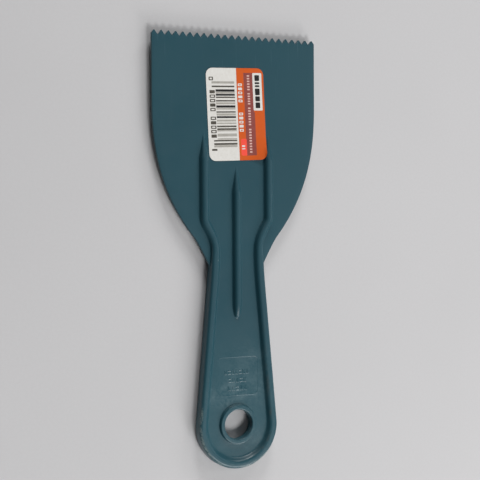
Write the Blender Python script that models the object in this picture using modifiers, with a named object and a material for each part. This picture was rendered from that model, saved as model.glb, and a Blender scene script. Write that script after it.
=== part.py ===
"""Three-inch notched spreader: a one-piece plastic moulding and its size label.

Run with:  blender --background --python part.py

Frame: metres, X across the blade, +Y towards the notched edge, +Z up.  The
tool lies flat on the lower faces of its ribs and handle rim at Z = 0, with
the origin in the middle of its length and width.  Lengths below that run
along the tool are measured back from the tooth tips ("station").
"""
import bpy
import bmesh
import math
from mathutils import Matrix, Vector

MM = 0.001

# ---- driving dimensions (millimetres) --------------------------------------
OVERALL_LENGTH = 183.4        # about 7 1/4 in, tooth tips to butt
BLADE_WIDTH = 75.4            # nominal 3 in blade
THICKNESS = 6.0               # over the ribs and the handle rim, both faces
WEB_TIP = 1.4                 # web thickness at the tooth tips
WEB_BUTT = 2.2                # web thickness at the butt, a straight taper

TOOTH_COUNT = 24
TOOTH_PITCH = 3.175           # 1/8 in
TOOTH_DEPTH = 2.0
TOOTH_TIP_HALF = 0.18         # half width of the small blunt end of a tooth
TOOTH_TIP_DROP = 0.12

# blade edge: straight, then a long convex sweep, then a short concave run-in
EDGE_STRAIGHT_END = 27.6
EDGE_PULL_1 = 13.57
EDGE_PULL_2 = 28.07
EDGE_KNEE = (19.23, 85.10)    # half width, station
EDGE_KNEE_SLOPE = 0.83
EDGE_PULL_3 = 2.83
EDGE_PULL_4 = 1.0
EDGE_END = (12.30, 97.40)     # where the blade runs into the handle wall
EDGE_END_SLOPE = 0.42

# the rib line: one track, from one rib tip round the butt to the other
RIB_X = 14.9                  # side ribs, centre to centre 29.8
RIB_TIP = 42.7                # station where a side rib rises out of the blade
RIB_FULL = 52.0               # station where it reaches its full section
RIB_BEND = 77.0               # station where it turns in towards the handle
NECK = (10.10, 90.5)          # narrowest point of the track
HANDLE_START = (10.73, 104.0)
HANDLE_TAPER = 0.0893         # the handle widens by this much per side
RIM_HALF = 1.95               # half width of the rim at its foot
SCALE_AT_TIP = 0.12           # section scale at the buried end of a rib

CENTRE_RIB = (56.35, 66.0, 114.5, 121.3)  # tip, full, full, tip

HOLE_STATION = 164.7
HOLE_DIAMETER = 12.7          # 1/2 in hanging hole
BOSS_DIAMETER = 17.0
BOSS_STAND = 1.25             # boss height over the web, both faces

LABEL_SIZE = (26.8, 38.95)
LABEL_CORNER = 3.0
LABEL_THICK = 0.12
LABEL_GAP = 0.15
LABEL_CENTRE = (0.24, 33.27)  # x, station
LABEL_TURN = 2.45             # degrees, anticlockwise from above

BODY_COLOR = (0.030, 0.088, 0.110, 1.0)
LABEL_COLOR = (0.74, 0.72, 0.68, 1.0)

HALF_T = THICKNESS / 2.0
MID_Y = OVERALL_LENGTH / 2.0


# ---- small helpers ----------------------------------------------------------
def y_of(station):
    """Row Y, in mm, of a distance back from the tooth tips."""
    return MID_Y - station


def web_half(station):
    """Half the web's thickness at a station."""
    t = station / OVERALL_LENGTH
    return 0.5 * (WEB_TIP + (WEB_BUTT - WEB_TIP) * t)


def smooth(a, b, v):
    t = min(1.0, max(0.0, (v - a) / (b - a)))
    return t * t * (3.0 - 2.0 * t)


def bezier(p0, p1, p2, p3, n):
    """n points after p0 on a cubic, as Vectors in (x, station)."""
    out = []
    for i in range(1, n + 1):
        t = i / n
        u = 1.0 - t
        out.append(p0 * u ** 3 + p1 * 3 * u * u * t + p2 * 3 * u * t * t + p3 * t ** 3)
    return out


def collection(name):
    col = bpy.data.collections.new(name)
    bpy.context.scene.collection.children.link(col)
    return col


def material(name, color, roughness, metallic=0.0):
    mat = bpy.data.materials.new(name)
    mat.use_nodes = True
    bsdf = mat.node_tree.nodes["Principled BSDF"]
    bsdf.inputs["Base Color"].default_value = color
    bsdf.inputs["Roughness"].default_value = roughness
    bsdf.inputs["Metallic"].default_value = metallic
    mat.diffuse_color = color
    return mat


def add_object(name, mesh, col, mat=None, helper=False):
    ob = bpy.data.objects.new(name, mesh)
    col.objects.link(ob)
    if mat:
        mesh.materials.append(mat)
    if helper:
        ob.hide_render = True
        ob.display_type = 'WIRE'
    return ob


def mesh_from_curve(name, curve, col):
    """Turn a filled curve into a welded mesh object and drop the curve."""
    tmp = bpy.data.objects.new(name + "_curve", curve)
    col.objects.link(tmp)
    bpy.context.view_layer.update()
    deps = bpy.context.evaluated_depsgraph_get()
    mesh = bpy.data.meshes.new_from_object(tmp.evaluated_get(deps))
    world = tmp.matrix_world.copy()
    bpy.data.objects.remove(tmp)
    bm = bmesh.new()
    bm.from_mesh(mesh)
    bmesh.ops.remove_doubles(bm, verts=bm.verts, dist=1e-6)
    bmesh.ops.recalc_face_normals(bm, faces=bm.faces)
    bm.to_mesh(mesh)
    bm.free()
    mesh.materials.clear()
    ob = bpy.data.objects.new(name, mesh)
    ob.matrix_world = world
    col.objects.link(ob)
    return ob


# ---- plan curves --------------------------------------------------------------
def blade_edge():
    """Right-hand blade edge from the first tooth flank to the handle."""
    a = Vector((BLADE_WIDTH / 2.0, EDGE_STRAIGHT_END))
    b = Vector(EDGE_KNEE)
    c = Vector(EDGE_END)
    u = Vector((-EDGE_KNEE_SLOPE, 1.0)).normalized()
    v = Vector((-EDGE_END_SLOPE, 1.0)).normalized()
    pts = [a]
    pts += bezier(a, a + Vector((0.0, EDGE_PULL_1)), b - u * EDGE_PULL_2, b, 22)
    pts += bezier(b, b + u * EDGE_PULL_3, c - v * EDGE_PULL_4, c, 8)
    return pts


def handle_circle():
    """Centre station and radius of the track's turn round the butt."""
    k = HANDLE_TAPER
    x0 = HANDLE_START[0] - k * HANDLE_START[1]
    root = math.sqrt(1.0 + k * k)
    reach = OVERALL_LENGTH - RIM_HALF
    radius = (x0 + k * reach) / (root + k)
    return reach - radius, radius


def track_half():
    """Right half of the track's centre line, rib tip to butt."""
    slope = SCALE_AT_TIP
    full_rate = (1.0 - tip_scale(RIB_TIP)) / (RIB_FULL - RIB_TIP)
    start = RIB_FULL - (1.0 - slope) / full_rate
    pts = []
    n = 9
    for i in range(n + 1):
        pts.append(Vector((RIB_X, start + (RIB_FULL - start) * i / n)))
    for i in range(1, 5):
        pts.append(Vector((RIB_X, RIB_FULL + (RIB_BEND - RIB_FULL) * i / 4.0)))
    neck = Vector(NECK)
    pts += bezier(pts[-1], pts[-1] + Vector((0, 3.0)), neck - Vector((0, 6.5)), neck, 14)
    h0 = Vector(HANDLE_START)
    d = Vector((HANDLE_TAPER, 1.0)).normalized()
    pts += bezier(neck, neck + Vector((0, 4.0)), h0 - d * 4.0, h0, 6)
    yc, r = handle_circle()
    a0 = math.atan(HANDLE_TAPER)
    tangent = Vector((r * math.cos(a0), yc - r * math.sin(a0)))
    for i in range(1, 7):
        pts.append(h0.lerp(tangent, i / 6.0))
    n = 22
    for i in range(1, n + 1):
        a = -a0 + (math.pi / 2.0 + a0) * i / n
        pts.append(Vector((r * math.cos(a), yc + r * math.sin(a))))
    return pts


def tip_scale(station):
    """Section scale at which a rib is exactly as high as the web."""
    return web_half(station) / HALF_T


def rib_scale(station, tip, full):
    """Linear ramp of the section: web height at the tip, full size at full."""
    s0 = tip_scale(tip)
    return min(1.0, s0 + (1.0 - s0) * (station - tip) / (full - tip))


# ---- sections, outer side positive, upper half from outside to inside ---------
RIB_SECTION = [(2.25, 0.0), (2.15, 1.0), (1.55, 2.35), (1.22, 2.84), (0.80, 3.0),
               (-0.80, 3.0), (-1.22, 2.84), (-1.55, 2.35), (-2.15, 1.0), (-2.25, 0.0)]
RIM_SECTION = [(1.95, 0.0), (1.95, 2.05), (1.80, 2.60), (1.45, 2.90), (1.00, 3.0),
               (-0.70, 3.0), (-1.12, 2.84), (-1.45, 2.45), (-2.40, 1.05), (-2.62, 0.0)]


def section(blend, scale):
    """Closed section ring: the rib form at blend 0, the rim form at 1."""
    upper = []
    for (ru, rz), (mu, mz) in zip(RIB_SECTION, RIM_SECTION):
        u = ru + (mu - ru) * blend
        z = rz + (mz - rz) * blend
        upper.append((u * scale, z * scale))
    lower = [(u, -z) for u, z in reversed(upper[1:-1])]
    return upper + lower


def loft(name, stations, col):
    """Join unlike section rings along a plan line into one closed body.

    stations: (centre in x and row y, outward unit vector, ring) in mm.
    """
    bm = bmesh.new()
    rings = []
    for centre, out, ring in stations:
        rings.append([bm.verts.new(((centre.x + out.x * u) * MM,
                                    (centre.y + out.y * u) * MM,
                                    (HALF_T + z) * MM)) for u, z in ring])
    n = len(rings[0])
    for a, b in zip(rings, rings[1:]):
        for i in range(n):
            j = (i + 1) % n
            bm.faces.new((a[i], a[j], b[j], b[i]))
    bm.faces.new(list(reversed(rings[0])))
    bm.faces.new(rings[-1])
    bmesh.ops.recalc_face_normals(bm, faces=bm.faces)
    mesh = bpy.data.meshes.new(name)
    bm.to_mesh(mesh)
    bm.free()
    return add_object(name, mesh, col, helper=True)


# ---- pieces -------------------------------------------------------------------
def make_web(col):
    """Blade and handle floor: one flat outline, then tapered in thickness."""
    edge = blade_edge()
    outline = []
    flank = (TOOTH_DEPTH - TOOTH_TIP_DROP) / (TOOTH_PITCH / 2.0 - TOOTH_TIP_HALF)
    half = BLADE_WIDTH / 2.0
    for i in range(TOOTH_COUNT):
        x = (i - (TOOTH_COUNT - 1) / 2.0) * TOOTH_PITCH
        if i == 0:
            drop = (x + half - TOOTH_TIP_HALF) * flank + TOOTH_TIP_DROP
            outline.append((-half, drop + 0.25))
            outline.append((-half + 0.12, drop - 0.12))
        outline.append((x - TOOTH_TIP_HALF, TOOTH_TIP_DROP))
        outline.append((x, 0.0))
        outline.append((x + TOOTH_TIP_HALF, TOOTH_TIP_DROP))
        if i < TOOTH_COUNT - 1:
            outline.append((x + TOOTH_PITCH / 2.0, TOOTH_DEPTH))
        else:
            outline.append((half - 0.12, drop - 0.12))
            outline.append((half, drop + 0.25))
    right = [(p.x, p.y) for p in edge]
    # inside the handle the floor runs out to the middle of the rim
    track = [p for p in track_half() if p.y > EDGE_END[1] + 1.5]
    right += [(p.x, p.y) for p in track]
    left = [(-x, s) for x, s in reversed(right[:-1])]
    outline += right + left

    curve = bpy.data.curves.new("web", 'CURVE')
    curve.dimensions = '2D'
    curve.fill_mode = 'BOTH'
    curve.extrude = HALF_T * MM
    spline = curve.splines.new('POLY')
    spline.points.add(len(outline) - 1)
    for p, (x, s) in zip(spline.points, outline):
        p.co = (x * MM, y_of(s) * MM, 0.0, 1.0)
    spline.use_cyclic_u = True
    web = mesh_from_curve("spreader_body", curve, col)
    for v in web.data.vertices:
        station = MID_Y - v.co.y / MM
        side = 1.0 if v.co.z > 0.0 else -1.0
        v.co.z = (HALF_T + side * web_half(station)) * MM
    return web


def make_track(col):
    """Side ribs, knees and handle rim: one loft from tip to tip."""
    half = track_half()
    pts = half + [Vector((-p.x, p.y)) for p in reversed(half[:-1])]
    stations = []
    for i, p in enumerate(pts):
        a = pts[max(0, i - 1)]
        b = pts[min(len(pts) - 1, i + 1)]
        d = (b - a).normalized()
        # plan vector in row axes: station grows towards -Y
        along = Vector((d.x, -d.y))
        out = Vector((-along.y, along.x))
        blend = smooth(84.0, 98.0, p.y)
        scale = rib_scale(p.y, RIB_TIP, RIB_FULL)
        stations.append((Vector((p.x, y_of(p.y))), out, section(blend, scale)))
    return loft("rim_track", stations, col)


def make_centre_rib(col):
    tip_a, full_a, full_b, tip_b = CENTRE_RIB
    rate_a = (1.0 - tip_scale(tip_a)) / (full_a - tip_a)
    rate_b = (1.0 - tip_scale(tip_b)) / (tip_b - full_b)
    start = full_a - (1.0 - SCALE_AT_TIP) / rate_a
    end = full_b + (1.0 - SCALE_AT_TIP) / rate_b
    stops = [start + (full_a - start) * i / 8.0 for i in range(9)]
    stops += [full_a + (full_b - full_a) * i / 4.0 for i in range(1, 5)]
    stops += [full_b + (end - full_b) * i / 8.0 for i in range(1, 9)]
    stations = []
    for s in stops:
        scale = min(rib_scale(s, tip_a, full_a),
                    min(1.0, tip_scale(tip_b) + rate_b * (tip_b - s)))
        stations.append((Vector((0.0, y_of(s))), Vector((1.0, 0.0)), section(0.0, scale)))
    return loft("centre_rib", stations, col)


def make_boss(col):
    """Ring round the hanging hole, a turned profile."""
    top = web_half(HOLE_STATION) + BOSS_STAND
    ri = HOLE_DIAMETER / 2.0
    ro = BOSS_DIAMETER / 2.0
    upper = [(ri, top - 0.45), (ri + 0.14, top - 0.13), (ri + 0.45, top),
             (ro - 0.75, top), (ro - 0.38, top - 0.14), (ro - 0.20, top - 0.50),
             (ro, top - BOSS_STAND)]
    lower = [(r, -z) for r, z in reversed(upper)]
    ring = upper + lower
    mesh = bpy.data.meshes.new("boss")
    verts = [(r * MM, 0.0, z * MM) for r, z in ring]
    edges = [(i, (i + 1) % len(ring)) for i in range(len(ring))]
    mesh.from_pydata(verts, edges, [])
    ob = add_object("boss", mesh, col, helper=True)
    ob.location = (0.0, y_of(HOLE_STATION) * MM, HALF_T * MM)
    screw = ob.modifiers.new("turn", 'SCREW')
    screw.axis = 'Z'
    screw.angle = 2.0 * math.pi
    screw.steps = 56
    screw.render_steps = 56
    screw.use_merge_vertices = True
    screw.merge_threshold = 0.00001
    return ob


def make_hole_cutter(col):
    bpy.ops.mesh.primitive_cylinder_add(
        vertices=48, radius=(HOLE_DIAMETER / 2.0 + 1.2) * MM, depth=0.02,
        location=(0.0, y_of(HOLE_STATION) * MM, HALF_T * MM))
    ob = bpy.context.active_object
    ob.name = "hole_cutter"
    for c in list(ob.users_collection):
        c.objects.unlink(ob)
    col.objects.link(ob)
    ob.hide_render = True
    ob.display_type = 'WIRE'
    return ob


def make_label(col, mat):
    """Paper size label with round corners, lying on the blade and lifted
    where its lower corner covers the tip of the right-hand rib."""
    w, h = LABEL_SIZE
    r = LABEL_CORNER
    rows = []
    for i in range(7):
        rows.append(-h / 2.0 + r * (1.0 - math.cos(i / 6.0 * math.pi / 2.0)))
    n = 16
    for i in range(1, n):
        rows.append(-h / 2.0 + r + (h - 2.0 * r) * i / n)
    rows += [-v for v in reversed(rows[:7])]
    cols = 22
    turn = Matrix.Rotation(math.radians(LABEL_TURN), 2)
    bm = bmesh.new()
    grid = []
    for v in rows:
        over = max(0.0, abs(v) - (h / 2.0 - r))
        half = w / 2.0 - (r - math.sqrt(max(0.0, r * r - over * over)))
        line = []
        for j in range(cols + 1):
            flat = Vector((half * (2.0 * j / cols - 1.0), v))
            q = turn @ flat
            x = q.x + LABEL_CENTRE[0]
            s = LABEL_CENTRE[1] - q.y
            lift = HALF_T * rib_scale(s, RIB_TIP, RIB_FULL) - web_half(s)
            lift = max(0.0, lift) * smooth(8.0, RIB_X - 2.0, x)
            z = HALF_T + web_half(s) + LABEL_GAP + lift
            line.append(bm.verts.new((x * MM, y_of(s) * MM, z * MM)))
        grid.append(line)
    for a, b in zip(grid, grid[1:]):
        for j in range(cols):
            bm.faces.new((a[j], a[j + 1], b[j + 1], b[j]))
    mesh = bpy.data.meshes.new("label")
    bm.to_mesh(mesh)
    bm.free()
    ob = add_object("label", mesh, col, mat)
    skin = ob.modifiers.new("thickness", 'SOLIDIFY')
    skin.thickness = LABEL_THICK * MM
    skin.offset = 1.0
    skin.use_even_offset = True
    return ob


def boolean(ob, other, operation):
    mod = ob.modifiers.new(other.name, 'BOOLEAN')
    mod.operation = operation
    mod.solver = 'EXACT'
    mod.object = other
    return mod


def main():
    for ob in list(bpy.data.objects):
        bpy.data.objects.remove(ob)
    parts = collection("notched_spreader")
    cutters = collection("cutters")

    body = make_web(parts)
    body.data.materials.append(material("teal_plastic", BODY_COLOR, 0.42))
    boolean(body, make_hole_cutter(cutters), 'DIFFERENCE')
    boolean(body, make_track(cutters), 'UNION')
    boolean(body, make_centre_rib(cutters), 'UNION')
    boolean(body, make_boss(cutters), 'UNION')
    body.data.shade_smooth()
    body.data.set_sharp_from_angle(angle=math.radians(32.0))

    make_label(parts, material("label_paper", LABEL_COLOR, 0.5))
    bpy.context.view_layer.update()


main()
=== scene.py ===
"""Looks for the notched spreader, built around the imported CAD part.

Everything is in the part's own frame: metres, X across the blade, +Y towards
the notched edge, +Z up from the table.  Lengths in the shape functions are in
millimetres; "station" is the distance back from the tooth tips.
"""
import math

import bmesh
import bpy
import numpy as np
from mathutils import Matrix, Vector
from mathutils.geometry import delaunay_2d_cdt


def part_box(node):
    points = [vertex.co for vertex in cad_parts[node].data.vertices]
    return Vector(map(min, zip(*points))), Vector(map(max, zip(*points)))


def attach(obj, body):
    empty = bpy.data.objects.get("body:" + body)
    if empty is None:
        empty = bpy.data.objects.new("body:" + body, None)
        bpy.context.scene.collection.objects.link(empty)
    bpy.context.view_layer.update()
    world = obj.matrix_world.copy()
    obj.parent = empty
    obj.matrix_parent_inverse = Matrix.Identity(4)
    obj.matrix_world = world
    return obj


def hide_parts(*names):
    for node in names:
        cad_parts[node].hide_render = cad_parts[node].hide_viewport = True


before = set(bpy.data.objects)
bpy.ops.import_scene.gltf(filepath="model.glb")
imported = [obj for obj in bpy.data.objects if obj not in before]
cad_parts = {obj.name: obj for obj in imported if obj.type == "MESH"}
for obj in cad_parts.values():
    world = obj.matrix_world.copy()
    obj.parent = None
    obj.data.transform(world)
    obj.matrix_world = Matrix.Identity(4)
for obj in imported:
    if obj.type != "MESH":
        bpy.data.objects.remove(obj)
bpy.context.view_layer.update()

BODY_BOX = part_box("spreader_body")
MM = 0.001
TIP_Y = BODY_BOX[1].y / MM            # row Y of the tooth tips
MID_Z = 0.5 * (BODY_BOX[0].z + BODY_BOX[1].z) / MM
HALF_T = 0.5 * (BODY_BOX[1].z - BODY_BOX[0].z) / MM
LENGTH = (BODY_BOX[1].y - BODY_BOX[0].y) / MM

# the same driving dimensions as the CAD
BLADE_HALF = 37.7
WEB_TIP, WEB_BUTT = 1.4, 2.2
TOOTH_COUNT, TOOTH_PITCH, TOOTH_DEPTH = 24, 3.175, 2.0
RIB_X, RIB_TIP, RIB_FULL, RIB_BEND = 14.9, 42.7, 52.0, 77.0
NECK = (10.10, 90.5)
HANDLE_START = (10.73, 104.0)
HANDLE_TAPER = 0.0893
RIM_HALF = 1.95
CENTRE_RIB = (56.35, 66.0, 113.0, 119.4)
HOLE_S, HOLE_R = 164.7, 6.35
BOSS_R, BOSS_STAND = 8.5, 1.25
LABEL_W, LABEL_H, LABEL_R = 26.65, 38.95, 3.0
LABEL_X, LABEL_S, LABEL_TURN = 0.165, 33.27, math.radians(2.45)
LABEL_GAP, LABEL_T = 0.15, 0.12
CORNER_S = 1.75                       # station of the blade's outer corners


# ---- plan curves -----------------------------------------------------------
def bezier(p0, p1, p2, p3, n, first=False):
    t = np.linspace(0.0, 1.0, n + 1)[(0 if first else 1):, None]
    p0, p1, p2, p3 = (np.array(p, float) for p in (p0, p1, p2, p3))
    u = 1.0 - t
    return p0 * u ** 3 + p1 * 3 * u * u * t + p2 * 3 * u * t * t + p3 * t ** 3


def unit(x, y):
    r = math.hypot(x, y)
    return np.array((x / r, y / r))


def blade_edge():
    """Right-hand edge, (x, station), from the corner to the handle wall."""
    a = np.array((BLADE_HALF, 27.6))
    b = np.array((19.23, 85.10))
    c = np.array((12.30, 97.40))
    u, v = unit(-0.83, 1.0), unit(-0.42, 1.0)
    rows = [np.stack([np.full(24, BLADE_HALF), np.linspace(CORNER_S + 0.35, 27.6, 24)], 1)]
    rows.append(bezier(a, a + (0.0, 13.57), b - u * 28.07, b, 70))
    rows.append(bezier(b, b + u * 2.83, c - v * 1.0, c, 16))
    return np.concatenate(rows)


def handle_circle():
    k = HANDLE_TAPER
    x0 = HANDLE_START[0] - k * HANDLE_START[1]
    root = math.sqrt(1.0 + k * k)
    reach = LENGTH - RIM_HALF
    radius = (x0 + k * reach) / (root + k)
    return reach - radius, radius


CIRCLE_S, CIRCLE_R = handle_circle()


def track_half(step=0.4):
    """Right half of the rib and rim centre line, (x, station), tip to butt."""
    start = 36.0
    rows = [np.stack([np.full(80, RIB_X), np.linspace(start, RIB_BEND, 80)], 1)]
    p, neck, h0 = np.array((RIB_X, RIB_BEND)), np.array(NECK), np.array(HANDLE_START)
    d = unit(HANDLE_TAPER, 1.0)
    rows.append(bezier(p, p + (0, 3.0), neck - (0, 6.5), neck, 60))
    rows.append(bezier(neck, neck + (0, 4.0), h0 - d * 4.0, h0, 30))
    a0 = math.atan(HANDLE_TAPER)
    tangent = np.array((CIRCLE_R * math.cos(a0), CIRCLE_S - CIRCLE_R * math.sin(a0)))
    n = int(np.linalg.norm(tangent - h0) / step)
    t = np.linspace(0, 1, n + 1)[1:, None]
    rows.append(h0 + (tangent - h0) * t)
    n = int(CIRCLE_R * (math.pi / 2 + a0) / step)
    a = np.linspace(-a0, math.pi / 2, n + 1)[1:]
    rows.append(np.stack([CIRCLE_R * np.cos(a), CIRCLE_S + CIRCLE_R * np.sin(a)], 1))
    return resample(np.concatenate(rows), step)


def resample(pts, step):
    seg = np.linalg.norm(np.diff(pts, axis=0), axis=1)
    s = np.concatenate([[0], np.cumsum(seg)])
    n = max(2, int(round(s[-1] / step)) + 1)
    t = np.linspace(0, s[-1], n)
    return np.stack([np.interp(t, s, pts[:, 0]), np.interp(t, s, pts[:, 1])], 1)


TRACK = track_half()
TRACK_FULL = np.concatenate([TRACK, (TRACK * (-1, 1))[::-1][1:]])


def nearest(points, line):
    """Distance to a polyline, signed side, and the nearest point on it."""
    a, b = line[:-1], line[1:]
    ab = b - a
    len2 = (ab ** 2).sum(1)
    out_d = np.empty(len(points))
    out_side = np.empty(len(points))
    out_q = np.empty((len(points), 2))
    for i in range(0, len(points), 3000):
        p = points[i:i + 3000, None, :]
        ap = p - a
        t = np.clip((ap * ab).sum(2) / len2, 0, 1)
        q = a + ab * t[..., None]
        d2 = ((p - q) ** 2).sum(2)
        k = d2.argmin(1)
        r = np.arange(len(k))
        qq = q[r, k]
        dd = points[i:i + 3000] - qq
        cross = ab[k, 0] * dd[:, 1] - ab[k, 1] * dd[:, 0]
        out_d[i:i + 3000] = np.sqrt(d2[r, k])
        out_side[i:i + 3000] = np.sign(cross)
        out_q[i:i + 3000] = qq
    return out_d, out_side, out_q


# ---- the height of one face above the mid plane ------------------------------
def smoothstep(a, b, v):
    t = np.clip((v - a) / (b - a), 0, 1)
    return t * t * (3 - 2 * t)


def smin(a, b, k):
    h = np.maximum(k - np.abs(a - b), 0) / k
    return np.minimum(a, b) - h * h * k * 0.25


def smax(a, b, k):
    return -smin(-a, -b, k)


def web_half(s):
    return 0.5 * (WEB_TIP + (WEB_BUTT - WEB_TIP) * s / LENGTH)


def shoulder(u, corner, slope_deg, r):
    """Height 3 with a rounded shoulder of radius r into a straight side."""
    phi = np.radians(slope_deg)
    t = r * np.tan(phi / 2)
    start = corner - t
    end = corner + t * np.cos(phi)
    arc = HALF_T - r + np.sqrt(np.maximum(r * r - (np.clip(u, start, end) - start) ** 2, 0))
    side = HALF_T - np.tan(phi) * (u - corner)
    return np.where(u < start, HALF_T, np.where(u < end, arc, side))


def ramp(s, tip, full):
    s0 = web_half(tip) / HALF_T
    return np.clip(s0 + (1 - s0) * (s - tip) / (full - tip), 0.02, 1.0)


def round_ramp(s, tip, full):
    """As ramp, but swelling quickly from the tip like a rounded end."""
    s0 = web_half(tip) / HALF_T
    t = (s - tip) / (full - tip)
    swell = np.sqrt(np.maximum(1 - (1 - np.clip(t, 0, 1)) ** 2, 0))
    return np.clip(s0 + (1 - s0) * np.where(t > 0, swell, t * 2.0), 0.02, 1.0)


def centre_scale(s):
    a, b, c, d = CENTRE_RIB
    return np.minimum(ramp(s, a, b), round_ramp(-s + c + d, c, d))


def track_height(u, s):
    """u: offset from the centre line, outward positive; s: station there."""
    b = smoothstep(84.0, 98.0, s)
    scale = ramp(s, RIB_TIP, RIB_FULL)
    v = np.abs(u) / scale
    outer = shoulder(v, 1.16 + 0.77 * b, 65.6 + 23.9 * b, 1.70 - 0.35 * b)
    butt = smoothstep(CIRCLE_S - 6.0, CIRCLE_S + 6.0, s)
    inner = shoulder(v, 1.16 + 0.02 * b, 65.6 - 4.0 * b - 8.0 * butt, 1.70)
    return scale * np.where(u > 0, outer, inner)


def centre_height(x, s):
    scale = centre_scale(s)
    return scale * shoulder(np.abs(x) / scale, 1.16, 65.6, 1.70)


def boss_height(r, s):
    top = BOSS_STAND
    ro = BOSS_R
    ring = smin(np.full_like(r, top), 3.2 * (ro - r), 0.45)
    inner = HOLE_R + 0.45
    lip = 0.45 - np.sqrt(np.maximum(0.45 ** 2 - np.clip(inner - r, 0, 0.45) ** 2, 0))
    return web_half(s) + ring - lip


# marks on the handle web: a tool insert's outline and rows of plain strokes
INSERT = (0.30, 144.2, 9.37, 8.15, 2.0)       # x, station, half w, half h, corner


def box_sdf(x, s, cx, cs, hw, hh, r=0.0):
    qx = np.abs(x - cx) - hw + r
    qs = np.abs(s - cs) - hh + r
    return np.hypot(np.maximum(qx, 0), np.maximum(qs, 0)) + np.minimum(np.maximum(qx, qs), 0) - r


def strokes():
    """(x, station, half width, half height) of the plain raised strokes."""
    out = []
    rows = ((142.4, -6.2, 5.5, 7), (145.85, -4.4, 4.4, 5), (149.3, -4.6, 4.6, 5))
    for k, (s, x0, x1, n) in enumerate(rows):
        pitch = (x1 - x0) / n
        for i in range(n):
            c = x0 + pitch * (i + 0.5)
            if (i + k) % 3 == 1:
                out.append((c, s - 0.62, pitch * 0.36, 0.19))
                out.append((c, s + 0.62, pitch * 0.36, 0.19))
            else:
                out.append((c - pitch * 0.2, s, 0.19, 0.88))
                out.append((c + pitch * 0.2, s, 0.19, 0.88))
    return out


STROKES = strokes()


def marks(x, s):
    """Raised marks on the upper face only."""
    cx, cs, hw, hh, r = INSERT
    d = box_sdf(x, s, cx, cs, hw, hh, r)
    ridge = 0.055 * np.exp(-(d / 0.16) ** 2)
    ridge *= 0.35 + 0.65 * smoothstep(-8.0, 6.0, x)
    z = ridge - 0.02 * smoothstep(0.1, -0.1, d)
    near = (s > 139) & (s < 153) & (np.abs(x) < 8)
    if near.any():
        best = np.full(near.sum(), 9.0)
        for sx, ss, sw, sh in STROKES:
            best = np.minimum(best, box_sdf(x[near], s[near], sx, ss, sw, sh, 0.12))
        z[near] += 0.11 * smoothstep(0.14, -0.06, best)
    # a faint knit line between the boss and the left wall
    t = np.clip((x + 13.6) / 5.0, 0, 1)
    line = np.abs(s - (167.0 + 0.5 * t))
    z += 0.03 * np.exp(-(line / 0.12) ** 2) * ((x > -13.6) & (x < -8.6))
    return z


# ---- outline ------------------------------------------------------------------
def arc_between(p, c, q, r, n):
    """Round the corner p-c-q with radius r, n+1 points."""
    p, c, q = (np.array(v, float) for v in (p, c, q))
    u, v = (p - c) / np.linalg.norm(p - c), (q - c) / np.linalg.norm(q - c)
    half = 0.5 * math.acos(np.clip(u @ v, -1, 1))
    t = r / math.tan(half)
    a, b = c + u * t, c + v * t
    centre = c + (u + v) / np.linalg.norm(u + v) * r / math.sin(half)
    a0 = math.atan2(*(a - centre)[::-1])
    a1 = math.atan2(*(b - centre)[::-1])
    d = (a1 - a0 + math.pi) % (2 * math.pi) - math.pi
    ang = a0 + d * np.linspace(0, 1, n + 1)
    return centre + r * np.stack([np.cos(ang), np.sin(ang)], 1)


def blade_line():
    """Left wall junction, up the left edge, along the teeth, down the right."""
    edge = blade_edge()
    d, _, _ = nearest(edge, TRACK)
    edge = edge[d > 1.935]
    flank = TOOTH_DEPTH / (TOOTH_PITCH / 2)
    corners = []
    for i in range(TOOTH_COUNT):
        x = (i - (TOOTH_COUNT - 1) / 2) * TOOTH_PITCH
        if i == 0:
            corners.append((-BLADE_HALF, -0.02 + (x + BLADE_HALF) * flank, 0.5, 5))
        corners.append((x, -0.10, 0.25, 6))
        if i < TOOTH_COUNT - 1:
            corners.append((x + TOOTH_PITCH / 2, TOOTH_DEPTH, 0.10, 3))
        else:
            corners.append((BLADE_HALF, -0.02 + (BLADE_HALF - x) * flank, 0.5, 5))
    pts = [np.array((-BLADE_HALF, 6.0))] + [np.array(c[:2]) for c in corners]
    pts.append(np.array((BLADE_HALF, 6.0)))
    teeth = []
    for k, (_, _, r, n) in enumerate(corners):
        teeth.append(arc_between(pts[k], pts[k + 1], pts[k + 2], r, n))
    teeth = np.concatenate(teeth)
    top = teeth[:, 1].min()
    teeth[:, 1] -= top                     # tips exactly at station 0
    edge = edge[edge[:, 1] > teeth[-1, 1] + 0.4]
    left = (edge * (-1, 1))[::-1]
    return np.concatenate([left, teeth, edge])


def normals_of(line, closed=False):
    if closed:
        d = np.roll(line, -1, 0) - np.roll(line, 1, 0)
    else:
        d = np.gradient(line, axis=0)
    d /= np.linalg.norm(d, axis=1)[:, None]
    return np.stack([-d[:, 1], d[:, 0]], 1)


def inset(line, dist, inward=1.0):
    """Mitred inward offset of an open line."""
    seg = np.diff(line, axis=0)
    seg /= np.linalg.norm(seg, axis=1)[:, None]
    n = np.stack([-seg[:, 1], seg[:, 0]], 1)
    a = np.concatenate([n[:1], n])
    b = np.concatenate([n, n[-1:]])
    m = a + b
    m /= np.maximum((m * m).sum(1), 1e-9)[:, None]
    return line + 2 * m * dist * inward


BLADE_LINE = blade_line()
RIM_OUT = RIM_HALF - 0.02


def offset_track(u_of_s, keep=None):
    """The right half of the track moved outward by u(station)."""
    d = np.gradient(TRACK, axis=0)
    d /= np.linalg.norm(d, axis=1)[:, None]
    n = np.stack([d[:, 1], -d[:, 0]], 1)      # outward for the right half
    u = u_of_s(TRACK[:, 1])
    pts = TRACK + n * np.asarray(u)[:, None]
    ok = np.ones(len(pts), bool) if keep is None else keep(TRACK)
    return pts, ok


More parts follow.
